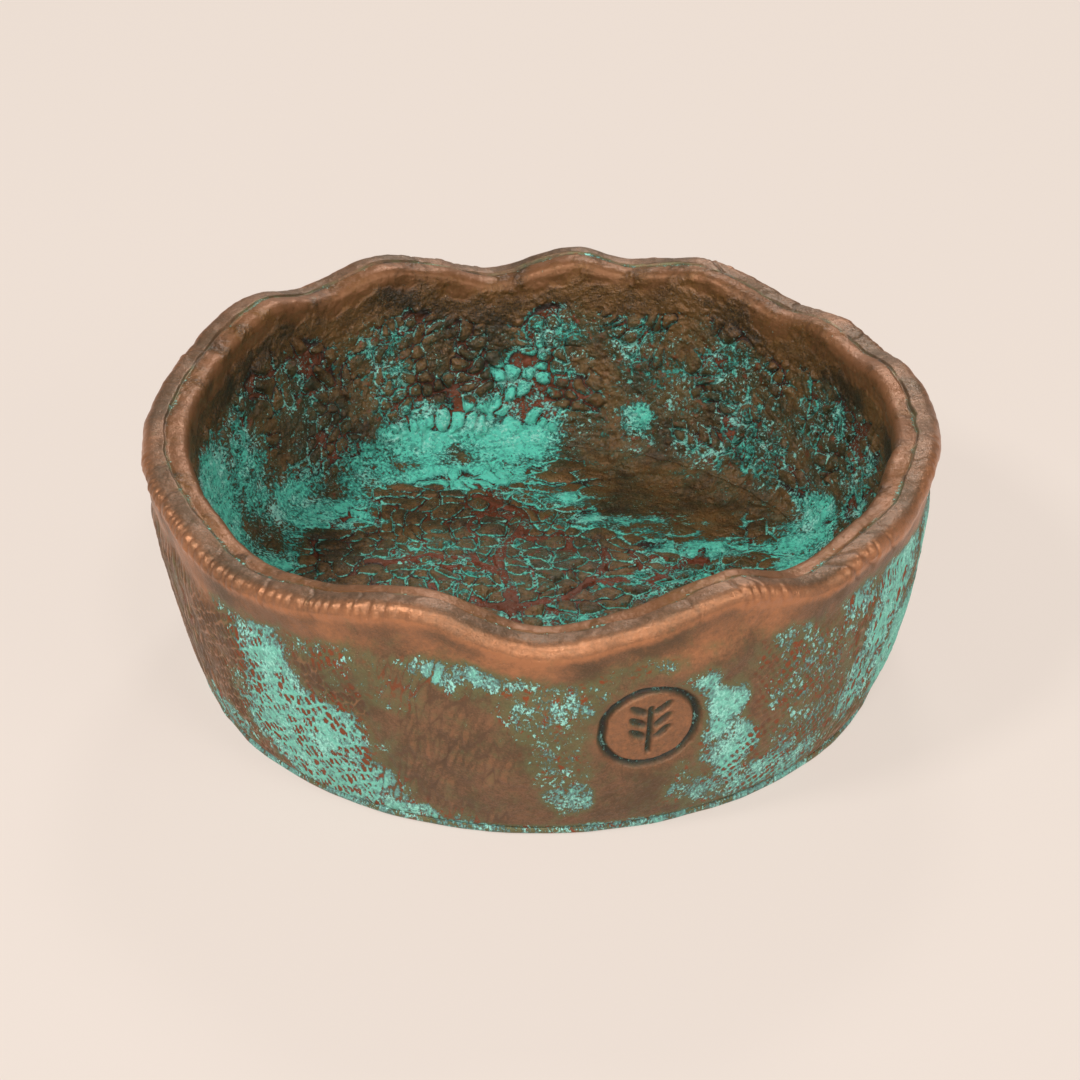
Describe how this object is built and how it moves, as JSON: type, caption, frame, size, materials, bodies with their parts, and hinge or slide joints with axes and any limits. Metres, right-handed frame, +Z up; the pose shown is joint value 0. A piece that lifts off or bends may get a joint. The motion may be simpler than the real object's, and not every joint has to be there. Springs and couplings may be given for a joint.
{
  "type": "bowl",
  "caption": "Small round slab-built bowl with a wavy double rim, cloth-textured outside, tree relief on its floor and a copper finish with green patina.",
  "frame": {"origin": "middle of the flat underside", "axes": "+Z up out of the bowl's mouth; the front, with the deepest dip of the rim, faces -Y"},
  "size_m": [0.13, 0.13, 0.0449],
  "materials": {
    "outside_copper": "dull aged copper with patches of green patina, bright on the rim",
    "inside_copper": "dark olive-brown aged copper in relief, with green patina in the recesses",
    "floor_patina": "brown copper tree relief with green patina around it"
  },
  "bodies": {
    "root": {"outer_wall": "outside_copper", "inner_wall": "inside_copper", "base_disc": "outside_copper", "floor_disc": "floor_patina"}
  },
  "joints": []
}
